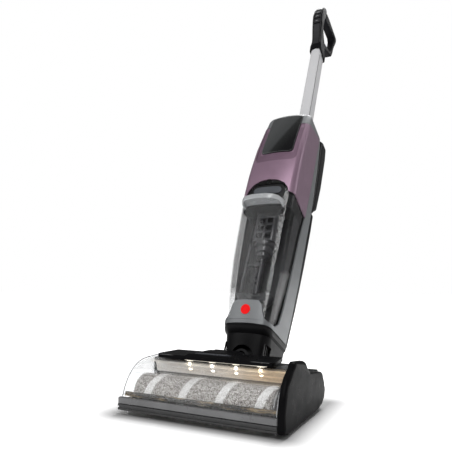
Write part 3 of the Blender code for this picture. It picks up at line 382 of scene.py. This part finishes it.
def finish_nodes(looks):
    """Each CAD node gets its slot's look, welded corners, rounded edges and smooth shading."""
    group = smooth_group()
    own_looks = {"debris_strainer": perforated("look_strainer", (0.03, 0.03, 0.032), 0.0022),
                 "grip_pad": moulded("look_grip_pad", (0.018, 0.018, 0.02), 0.4, level=0.3)}
    for row in frame["record"]["subparts"]:
        name = row["node"]
        node = frame["nodes"][name]
        node.data.materials.clear()
        node.data.materials.append(own_looks.get(name) or looks[row["material_slot"]])
        node.modifiers.new("weld", "WELD").merge_threshold = WELD
        if name in BEVELS:
            bevelled(node, BEVELS[name], NODE_SHARP)
        node.modifiers.new("smooth", "NODES").node_group = group
        if name in BEVELS:
            node.modifiers.new("normals", "WEIGHTED_NORMAL").keep_sharp = True


# ---------------------------------------------------------------- pieces: helpers
def piece(name, verts, faces, looks_used, body, smooth=True):
    """A mesh that rides on a body, with the given looks."""
    mesh = bpy.data.meshes.new(name)
    mesh.from_pydata([tuple(v) for v in verts], [], faces)
    mesh.validate()
    made = bpy.data.objects.new(name, mesh)
    bpy.context.scene.collection.objects.link(made)
    for look in looks_used:
        mesh.materials.append(look)
    mesh.polygons.foreach_set("use_smooth", [smooth] * len(mesh.polygons))
    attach(made, body)
    return made


def slab(name, place, outline, low, high, look, body, bevel=0.3, flat="z"):
    """An outline of (a, b) pairs made solid from low to high along the third coordinate."""
    def at(a, b, c):
        order = {"z": (a, b, c), "y": (a, c, b), "x": (c, a, b)}[flat]
        return place(*order)
    count = len(outline)
    verts = [at(a, b, low) for a, b in outline] + [at(a, b, high) for a, b in outline]
    faces = [list(range(count))[::-1], list(range(count, 2 * count))]
    faces += [[k, (k + 1) % count, count + (k + 1) % count, count + k] for k in range(count)]
    made = piece(name, verts, faces, [look], body, smooth=False)
    bevelled(made, bevel, PIECE_SHARP)
    return made


def wire(name, points, radius, look, body, closed=False):
    """A round trim line through the points."""
    curve = bpy.data.curves.new(name, "CURVE")
    curve.dimensions = "3D"
    curve.bevel_depth = radius * MM
    curve.bevel_resolution = 3
    curve.use_fill_caps = True
    spline = curve.splines.new("POLY")
    spline.points.add(len(points) - 1)
    for target, point in zip(spline.points, points):
        target.co = (*point, 1.0)
    spline.use_cyclic_u = closed
    spline.use_smooth = True
    curve.materials.append(look)
    made = bpy.data.objects.new(name, curve)
    bpy.context.scene.collection.objects.link(made)
    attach(made, body)


def smooth_line(points, steps=8):
    """Catmull-Rom points through a list of vectors."""
    ends = [points[0]] + list(points) + [points[-1]]
    out = []
    for a, b, c, d in zip(ends, ends[1:], ends[2:], ends[3:]):
        for k in range(steps):
            t = k / steps
            out.append(0.5 * (2 * b + (c - a) * t + (2 * a - 5 * b + 4 * c - d) * t * t
                              + (3 * b - a - 3 * c + d) * t ** 3))
    out.append(Vector(points[-1]))
    return out


def arc(cx, cy, radius, start, end, steps):
    """Points on a circle from one angle to another, in degrees."""
    angles = [math.radians(start + (end - start) * k / steps) for k in range(steps + 1)]
    return [(cx + radius * math.cos(angle), cy + radius * math.sin(angle)) for angle in angles]


def stadium(cx, cy, long, wide, steps=6):
    """A slot outline with round ends, long along the first axis."""
    radius = wide / 2
    half = long / 2 - radius
    return (arc(cx + half, cy, radius, -90, 90, steps) + arc(cx - half, cy, radius, 90, 270, steps))


def face_of(name, start=-200.0):
    """A call that gives the point of a CAD node's face at body (x, s), raised by some millimetres.

    The face is the one seen from w = start: the front for a negative value, else the back.
    """
    node = frame["nodes"][name]
    mesh = node.data
    tree = BVHTree.FromPolygons([node.matrix_world @ v.co for v in mesh.vertices],
                                [tuple(face.vertices) for face in mesh.polygons])
    ahead = BACK if start < 0 else -BACK

    def at(x, s, lift):
        for shift in (0.0, 0.11, -0.13):         # a ray along a mesh edge can slip through it
            hit = tree.ray_cast(in_body(x + shift, start, s + shift), ahead)[0]
            if hit:
                return hit - ahead * (lift * MM)
        raise ValueError(f"{name} has no face at {x}, {s}")
    return at


# ---------------------------------------------------------------- brush roller
PILE_RINGS = 230
PILE_SIDES = 144
BAND_LEAD = 62.0                 # spacing of the pale helical bands along the roller
BAND_WIDTH = 13.0
BAND_START = -90.3
PILE_LOW, PILE_TUFT = 0.0009, 0.0006       # metres under the CAD sleeve, and the tufts' height
BAND_LOW, BAND_TUFT = 0.0004, 0.0003
PILE_EDGE = 0.003                          # the ends are rounded over this length
PILE_HOLE = 0.72                           # the hole for the core, as a part of the radius


def make_pile(looks):
    """The roller's pile: a tufted skin with pale helical bands, on the CAD sleeve's radius."""
    band_look = pile("look_band", (0.55, 0.54, 0.52), (0.86, 0.85, 0.83), (0.78, 0.77, 0.75))
    low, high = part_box("brush_sleeve")
    centre = (low + high) / 2
    radius = (high.z - low.z) / 2
    verts, faces, band_faces = [], [], []
    for i in range(PILE_RINGS + 1):
        t = i / PILE_RINGS
        x = low.x + (high.x - low.x) * t
        end = min(t, 1 - t) * (high.x - low.x)
        sink = max(0.0, PILE_EDGE - end) * 0.5
        for j in range(PILE_SIDES):
            a = math.tau * j / PILE_SIDES
            turn = ((x - HEAD_ORIGIN.x) / MM - BAND_START) / BAND_LEAD - a / math.tau
            away = abs((turn + 0.5) % 1.0 - 0.5) * BAND_LEAD
            in_band = away < BAND_WIDTH / 2
            tuft = noise.noise(Vector((x * 900, math.cos(a) * 26, math.sin(a) * 26)))
            under, height = (BAND_LOW, BAND_TUFT) if in_band else (PILE_LOW, PILE_TUFT)
            r = radius - under - sink + height * tuft
            verts.append((x, centre.y - r * math.cos(a), centre.z + r * math.sin(a)))
            if i < PILE_RINGS:
                k = (j + 1) % PILE_SIDES
                row = i * PILE_SIDES
                faces.append([row + j, row + k, row + PILE_SIDES + k, row + PILE_SIDES + j])
                band_faces.append(1 if in_band else 0)
    inner = radius * PILE_HOLE
    for end, first in ((0, 0), (1, PILE_RINGS * PILE_SIDES)):
        x = high.x if end else low.x
        base = len(verts)
        for j in range(PILE_SIDES):
            a = math.tau * j / PILE_SIDES
            verts.append((x, centre.y - inner * math.cos(a), centre.z + inner * math.sin(a)))
        for j in range(PILE_SIDES):
            k = (j + 1) % PILE_SIDES
            quad = [first + j, base + j, base + k, first + k]
            faces.append(quad[::-1] if end else quad)
            band_faces.append(0)
    made = piece("roller_pile", verts, faces, [looks["roller_pile"], band_look], "brush")
    made.data.polygons.foreach_set("material_index", band_faces)
    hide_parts("brush_sleeve")


# ---------------------------------------------------------------- head details
WINDOW_CURVE = ((5.0, 26.8), (7.5, 34.0), (11.5, 43.0), (17.5, 52.5), (25.0, 61.0), (34.5, 68.5),
                (46.0, 74.0), (60.0, 77.3), (80.0, 78.3), (104.0, 78.5))    # its side, in head y and z
WINDOW_CENTRE = Vector((60.0, 12.0))


def inset_curve(inset):
    """The window's side outline, front bottom edge to rear top edge, drawn in by some millimetres."""
    out = []
    for point in WINDOW_CURVE:
        pull = (WINDOW_CENTRE - Vector(point)).normalized() * inset
        out.append((point[0] + pull.x, point[1] + pull.y))
    return out


def make_light_strip():
    """The lit chips under the bar and the guide that spreads their light over the roller."""
    star = glow("look_led_chip", (1.0, 0.92, 0.78), 4.0)
    for k, x in enumerate(LED_PLACES):
        chip = stadium(x, 61.6, 2.6, 1.6, 5)
        made = slab(f"led_chip_{k}", in_head, chip, 78.8, 78.98, star, "head", 0.05)
        made.visible_glossy = False
    streaks = ((0.3, (0.6, 0.54, 0.47)), (0.45, (0.85, 0.82, 0.78)), (0.6, (1.0, 1.0, 1.0)))
    warmth = ((0.0, (0.95, 0.94, 0.92)), (0.45, (0.95, 0.92, 0.88)), (0.8, (0.9, 0.72, 0.5)),
              (1.0, (0.82, 0.62, 0.4)))
    liner = streaked("look_liner", streaks, 0.6, (0.12, 1.0, 1.0), warmth)
    guide = [(83.1, 55.5), (83.4, 63.0), (80.5, 69.5), (75.0, 73.0), (64.0, 73.4)]
    guide += [(y - 0.9, z - 1.0) for y, z in guide[::-1]]
    slab("light_guide", in_head, guide, -120.5, 121.0, liner, "head", 0.2, "x")


def make_window_details(looks):
    """The window's dark foot, its two moulded creases, and pale lines along its ends that are painted highlights.
    """
    low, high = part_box("brush_window")
    left, right = (low.x - HEAD_ORIGIN.x) / MM, (high.x - HEAD_ORIGIN.x) / MM
    streaks = ((0.4, (0.006, 0.005, 0.004)), (0.52, (0.03, 0.022, 0.014)),
               (0.6, (0.3, 0.22, 0.12)), (0.68, (0.01, 0.008, 0.006)))
    edge = streaked("look_window_foot", streaks, 0.12, (0.1, 1.0, 1.0))
    foot = [(8.6, 27.2), (10.6, 27.2), (11.0, 30.0), (11.9, 33.6), (10.6, 33.8), (9.4, 30.5)]
    slab("window_foot", in_head, foot, left + 8.0, right - 1.5, edge, "window", 0.2, "x")
    for k, step in enumerate((4, 8)):
        y, z = WINDOW_CURVE[step]
        line = [in_head(x, y, z) for x in (left + 7.0, right - 2.0)]
        wire(f"window_crease_{k}", line, 0.55, looks["window"], "window")
    # pale lines along the window's two ends: painted highlights
    for side, x in (("left", left + 6.6), ("right", right - 0.9)):
        rim = smooth_line([in_head(x, y, z) for y, z in inset_curve(0.1)], 4)
        wire(f"window_end_highlight_{side}", rim, 0.8, looks["lip_grey"], "window")


BAR_MIDDLE = -6.0                # the inset's middle along the bar, in head x


def make_bar_details(looks):
    """The ribbed inset on the light bar, and bright lines along its lower edge that are painted highlights."""
    inset = moulded("look_bar_inset", (0.012, 0.013, 0.02), 0.3, level=0.4)
    slab("bar_inset", in_head, stadium(BAR_MIDDLE, 72.0, 66.0, 11.0, 5), 89.8, 90.25, inset, "head",
         0.1)
    for k in range(3):
        rib = stadium(BAR_MIDDLE, 69.0 + 3.0 * k, 56.0, 1.2, 4)
        slab(f"bar_rib_{k}", in_head, rib, 90.1, 90.6, looks["button_grey"], "head", 0.1)
    # pale lines along the bar's lower edge: painted highlights
    for side, ends in (("left", (-100.0, -60.0)), ("right", (48.0, 94.0))):
        line = [in_head(x, 61.0, 85.9) for x in ends]
        wire(f"bar_edge_highlight_{side}", line, 0.35, looks["bumper"], "head")


# ---------------------------------------------------------------- body details
# The recessed field round the display
FIELD_HALF, FIELD_CORNER, FIELD_LOW = 46.0, 12.0, 432.0
FIELD_BEND = FIELD_LOW + FIELD_CORNER      # where its lower corners start
FIELD_INSET = 0.84                         # beside the display it starts at this part of its half width


def make_housing_field():
    """The darker field of the mauve housing round and under the display, and a dark line round it that is painted
    shade of the step into the recess.
    """
    at = face_of("upper_housing")
    below = [432.9 + 0.5 * k for k in range(24)] + [448.0, 451.0, 454.0]
    beside = [454.0 + 6.0 * k for k in range(15)]
    verts, faces = [], []
    for rows, left, right in ((below, -1.0, 1.0), (beside, -1.0, -FIELD_INSET),
                              (beside, FIELD_INSET, 1.0)):
        first = len(verts)
        for s in rows:
            half = 45.1
            if s < FIELD_BEND:
                half = 33.3 + math.sqrt(max(11.8 ** 2 - (FIELD_BEND - s) ** 2, 0.0))
            verts += [at(half * (left + (right - left) * k / 20.0), s, 0.2) for k in range(21)]
        for row in range(len(rows) - 1):
            low, high = first + 21 * row, first + 21 * (row + 1)
            faces += [[low + k, low + k + 1, high + k + 1, high + k] for k in range(20)]
    field = painted("look_mauve_field", (0.2, 0.12, 0.175), (0.36, 0.25, 0.33), 0.4)
    piece("housing_field", verts, faces, [field], "body")

    # a dark line along the field's edge: painted shade of its step
    edge = painted("look_mauve_step_shade", (0.12, 0.075, 0.105), (0.2, 0.14, 0.18), 0.4)
    bend = FIELD_HALF - FIELD_CORNER
    path = [(FIELD_HALF, 545.0 - 10.0 * k) for k in range(10)]
    path += arc(bend, FIELD_BEND, FIELD_CORNER, 0, -90, 6)[1:]
    path += [(28.0 - 7.0 * k, FIELD_LOW) for k in range(9)]
    path += arc(-bend, FIELD_BEND, FIELD_CORNER, -90, -180, 6)[1:]
    path += [(-FIELD_HALF, 455.0 + 10.0 * k) for k in range(10)]
    line = [at(x * 0.985, s + 0.7, 0.2) for x, s in path]
    wire("housing_field_step_shade", line, 0.55, edge, "body")


def make_display_highlight(looks):
    """A thin bright line round the display panel's face: a painted highlight on its rim."""
    at = face_of("display_panel")
    rim = []
    for cx, cy, start in ((27.0, 574.0, 0), (-27.0, 574.0, 90), (-27.0, 466.0, 180),
                          (27.0, 466.0, 270)):
        rim += arc(cx, cy, 8.0, start, start + 90, 6)
    closed = []
    for (xa, sa), (xb, sb) in zip(rim, rim[1:] + rim[:1]):
        closed += [(xa + (xb - xa) * k / 6, sa + (sb - sa) * k / 6) for k in range(6)]
    # the pale line round the display's face is a painted highlight
    line = [at(x, s, 0.1) for x, s in closed]
    wire("display_edge_highlight", line, 0.3, looks["bumper"], "body", True)


def make_handle_lines(looks):
    """The bright lines on the grip bar, and dark lines along the tube's grooves that are painted shade."""
    at = face_of("grip_bar")
    for side, sign in (("left", -1), ("right", 1)):
        line = [at(sign * 10.2, 946.0 + 9.0 * k, 0.05) for k in range(15)]
        wire(f"grip_line_{side}", line, 0.3, looks["bumper"], "body")
        # dark lines along the tube's grooves: painted shade
        groove_shade = [in_body(sign * 12.4, 27.6, s) for s in (602.0, 905.0)]
        wire(f"tube_groove_shade_{side}", groove_shade, 0.95, looks["belt"], "body")


TANK_LEVELS = ((95.0, 42.2, -26.0), (120.0, 43.2, -24.5), (162.0, 46.6, -21.6),
               (214.0, 49.8, -18.6), (278.0, 51.6, -14.6), (326.0, 53.0, -9.0))
                                 # s, then the half width and the back w of the dirty tank's inside
SHEET_GAP, SHEET_WALL, SHEET_CORNER = 0.6, 1.0, 6.0
RING = 12                        # a sheet level: 6 points outside and 6 inside


def make_tank_dark_sheet():
    """A dark sheet round the sides and the back inside the dirty tank, open to the front: the tank is darker
    inside there.
    """
    look = moulded("look_tank_dark_sheet", (0.02, 0.02, 0.022), 0.4, level=0.4)
    verts, faces = [], []
    for s, half, back in TANK_LEVELS:
        front = -42.0 - (s - 95.0) * 0.05
        for inner in (0.0, SHEET_WALL):
            a, b = half - SHEET_GAP - inner, back - SHEET_GAP - inner
            section = ((-a, front), (-a, b - SHEET_CORNER), (-a + SHEET_CORNER, b))
            verts += [in_body(x, w, s) for x, w in section]
            verts += [in_body(-x, w, s) for x, w in section[::-1]]
    for low in range(0, RING * (len(TANK_LEVELS) - 1), RING):
        high = low + RING
        for k in range(5):
            faces.append([low + k, low + k + 1, high + k + 1, high + k])
            faces.append([low + 6 + k, high + 6 + k, high + 7 + k, low + 7 + k])
        for k in (0, 5):
            faces.append([low + k, high + k, high + 6 + k, low + 6 + k])
    for base in (0, RING * (len(TANK_LEVELS) - 1)):
        faces += [[base + k, base + 6 + k, base + 7 + k, base + k + 1] for k in range(5)]
    piece("tank_dark_sheet", verts, faces, [look], "dirty_tank", smooth=False)


SCOOP_TOP = ((-41.5, -86.0), (-41.0, -100.0), (-37.0, -110.5), (-28.5, -117.2), (-13.0, -120.6),
             (13.0, -120.6), (28.5, -117.2), (37.0, -110.5), (41.0, -100.0), (41.5, -86.0))
SCOOP_WALL = 0.0012              # metres


def make_lip_scoop(looks):
    """The thin clear scoop that runs from the pouring lip's rim back to the tank's face."""
    low = [(x * 0.74, -88.6 if abs(x) < 35 else -87.0) for x, w in SCOOP_TOP]
    verts = [in_body(x, w, 308.4) for x, w in SCOOP_TOP] + [in_body(x, w, 283.0) for x, w in low]
    verts += [v + BACK * SCOOP_WALL for v in verts]
    count = len(SCOOP_TOP)
    faces = []
    for k in range(count - 1):
        faces.append([k, k + 1, count + k + 1, count + k])
        faces.append([2 * count + k, 3 * count + k, 3 * count + k + 1, 2 * count + k + 1])
    piece("lip_scoop", verts, faces, [looks["smoky_clear"]], "dirty_tank")
    end, side, foot = (41.5, -86.5, 308.0), (38.0, -96.0, 294.0), (28.0, -92.0, 284.5)
    edge = [in_body(-x, w, s) for x, w, s in (end, side, foot)]
    edge += [in_body(x, w, s) for x, w, s in (foot, side, end)]
    wire("lip_scoop_edge", smooth_line(edge), 0.5, looks["separator"], "dirty_tank")


COVER_SCREWS = ((-30, 90, 50.2), (30, 90, 50.2), (-34, 205, 54.0), (34, 205, 54.0))    # x, s, w


def make_back_details(looks):
    """Vents and screws on the back cover."""
    for k in range(9):
        slab(f"vent_{k}", in_body, stadium(0.0, 300.0 + 6.5 * k, 62.0, 3.0), 52.0, 56.4,
             looks["chassis_plastic"], "body", 0.3, "y")
    for k, (x, s, w) in enumerate(COVER_SCREWS):
        slab(f"cover_screw_{k}", in_body, arc(x, s, 3.6, 0, 345, 23), w - 0.6, w + 0.5,
             looks["pin_steel"], "body", 0.3, "y")


def make_clean_tank_details(looks):
    """The clean tank's level window with its marks, and its latch."""
    at = face_of("clean_tank", 300.0)
    rows = [452.0 + 4.0 * k for k in range(25)]
    verts = [at(38.0 + shift, s, 0.3) for s in rows for shift in (-3.5, -2.0, 0.0, 2.0, 3.5)]
    faces = [[5 * row + k, 5 * row + 5 + k, 5 * row + 6 + k, 5 * row + 1 + k]
             for row in range(len(rows) - 1) for k in range(4)]
    level = moulded("look_level", (0.16, 0.17, 0.18), 0.15, 900.0, 0.05, 0.5, 0.5)
    piece("tank_level_window", verts, faces, [level], "clean_tank")
    for k in range(5):
        mark = [at(20.0 + 5.0 * n, 462.0 + 19.0 * k, 0.1) for n in range(3)]
        wire(f"tank_level_mark_{k}", mark, 0.5, looks["key_light"], "clean_tank")
    slab("clean_tank_latch", in_body, stadium(0.0, 572.0, 44.0, 13.0), 84.0, 88.6,
         looks["button_grey"], "clean_tank", 0.8, "y")


def make_key_marks(looks):
    """A raised tick on each key, and a plain bar on the mode key."""
    half, sink = 0.0038, 0.0012
    for name in ("mode", "spray", "boost", "power"):
        low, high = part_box(name + "_button")
        centre = (low + high) / 2
        rise = 0.0018 if name != "mode" else 0.0
        points = [Vector((centre.x + side * half, low.y - out, centre.z + up)) + BACK * sink
                  for side, out, up in ((-1, 0.0, -rise), (0, 0.0004, rise), (1, 0.0, -rise))]
        wire(f"{name}_mark", points, 0.5, looks["key_light"], name + "_key")


# ---------------------------------------------------------------- floor
FLOOR_HALF = 6.0
HEAD_MIDDLE = 0.115              # the footprint's middle, behind the head's origin
HEAD_HALF = (0.135, 0.105, 0.0)  # the footprint's half sides
SHADE_START, SHADE_END = 0.004, 0.055      # the floor's own light grows over these distances from it


def make_stage():
    """A pale floor that lights itself white, except under the head and just round it, where it is darker: a
    painted contact shadow.
    """
    a = FLOOR_HALF
    mesh = bpy.data.meshes.new("floor")
    mesh.from_pydata([(-a, -a, 0), (a, -a, 0), (a, a, 0), (-a, a, 0)], [], [(0, 1, 2, 3)])
    floor = bpy.data.objects.new("floor", mesh)
    bpy.context.scene.collection.objects.link(floor)
    g = Graph("look_floor")
    g.set(Roughness=0.8, Emission_Color=(1, 1, 1, 1))
    away = g.place                           # becomes the distance from the head's footprint
    for operation, amount in (("ABSOLUTE", None), ("SUBTRACT", HEAD_HALF),
                              ("MAXIMUM", (0.0, 0.0, 0.0)), ("LENGTH", None)):
        step = g.tree.nodes.new("ShaderNodeVectorMath")
        step.operation = operation
        g.link(away, step.inputs[0])
        if amount:
            step.inputs[1].default_value = amount
        away = step.outputs["Value" if operation == "LENGTH" else "Vector"]
    # the floor's own light fades out toward the head's footprint: a painted contact shadow
    g.link(g.spread(away, 0.0, 1.0, SHADE_START, SHADE_END), g.shader.inputs["Emission Strength"])
    g.link(g.ramp(g.noise(3.0), ((0.3, (0.93, 0.93, 0.93)), (0.7, (0.95, 0.95, 0.95)))),
           g.shader.inputs["Base Color"])
    mesh.materials.append(g.material)
    floor.location = (HEAD_ORIGIN.x, HEAD_ORIGIN.y + HEAD_MIDDLE, 0.0)
    return floor


# ---------------------------------------------------------------- light and camera
AMBIENT = 0.14                   # the world's light on the object; the camera sees the world white
BODY_MIDDLE = (0.0, -0.1, 0.45)


def linked(name, light):
    lamp = bpy.data.objects.new(name, light)
    bpy.context.scene.collection.objects.link(lamp)
    return lamp


def area(name, place, aim, width, height, power):
    light = bpy.data.lights.new(name, "AREA")
    light.shape = "RECTANGLE"
    light.size, light.size_y = width, height
    light.energy = power
    lamp = linked(name, light)
    lamp.location = place
    lamp.rotation_euler = (Vector(aim) - Vector(place)).to_track_quat("-Z", "Y").to_euler()
    return lamp


def make_lights(floor):
    fronts = (area("key_left", (-1.3, -1.6, 1.5), BODY_MIDDLE, 1.2, 1.6, 12.0),
              area("strip_front", (0.24, -1.3, 1.45), (0.0, -0.25, 0.25), 0.5, 1.3, 17.0))
    area("top", (0.1, 1.2, 2.0), (0, -0.2, 0), 1.2, 1.2, 32.0)
    area("rim_right", (1.5, 0.9, 1.0), BODY_MIDDLE, 0.5, 1.4, 2.5)
    unlit = bpy.data.collections.new("unlit_floor")      # the front lights leave the shadow dark
    unlit.objects.link(floor)
    unlit.collection_objects[0].light_linking.link_state = "EXCLUDE"
    for lamp in fronts:
        lamp.light_linking.receiver_collection = unlit
    for k, x in enumerate(LED_PLACES):
        spot = bpy.data.lights.new(f"led_{k}", "POINT")
        spot.energy = 0.004
        spot.shadow_soft_size = 0.003
        spot.color = (1.0, 0.87, 0.66) if k in (0, 3) else (1.0, 0.96, 0.9)
        lamp = linked(f"led_{k}", spot)
        lamp.location = in_head(x, 62.5, 73.0)
        lamp.visible_glossy = False


def make_world():
    """A weak white sky, seen as plain white behind the object."""
    world = bpy.data.worlds.new("studio")
    bpy.context.scene.world = world
    world.use_nodes = True
    tree = world.node_tree
    mix = tree.nodes.new("ShaderNodeMixShader")
    path = tree.nodes.new("ShaderNodeLightPath")
    tree.links.new(path.outputs["Is Camera Ray"], mix.inputs["Fac"])
    sky, seen = tree.nodes["Background"], tree.nodes.new("ShaderNodeBackground")
    for socket, node, strength in ((1, sky, AMBIENT), (2, seen, 1.0)):
        node.inputs["Color"].default_value = (1, 1, 1, 1)
        node.inputs["Strength"].default_value = strength
        tree.links.new(node.outputs[0], mix.inputs[socket])
    tree.links.new(mix.outputs[0], tree.nodes["World Output"].inputs["Surface"])


CAMERA_PLACE = Vector((0.37215, -0.61695, 0.20977))      # from the head's origin, in metres
CAMERA_TILT, CAMERA_TURN = 96.17, 27.26                  # degrees


def make_camera():
    data = bpy.data.cameras.new("camera")
    data.lens = 38.65
    data.sensor_width = 36.0
    camera = linked("camera", data)
    camera.location = HEAD_ORIGIN + CAMERA_PLACE
    camera.rotation_euler = (math.radians(CAMERA_TILT), 0.0, math.radians(CAMERA_TURN))
    bpy.context.scene.camera = camera
    bpy.context.scene.view_settings.view_transform = "Standard"


def main():
    looks = make_looks()
    finish_nodes(looks)
    make_pile(looks)
    make_light_strip()
    make_window_details(looks)
    make_bar_details(looks)
    make_housing_field()
    make_display_highlight(looks)
    make_handle_lines(looks)
    make_tank_dark_sheet()
    make_lip_scoop(looks)
    make_back_details(looks)
    make_clean_tank_details(looks)
    make_key_marks(looks)
    make_lights(make_stage())
    make_world()
    make_camera()


main()
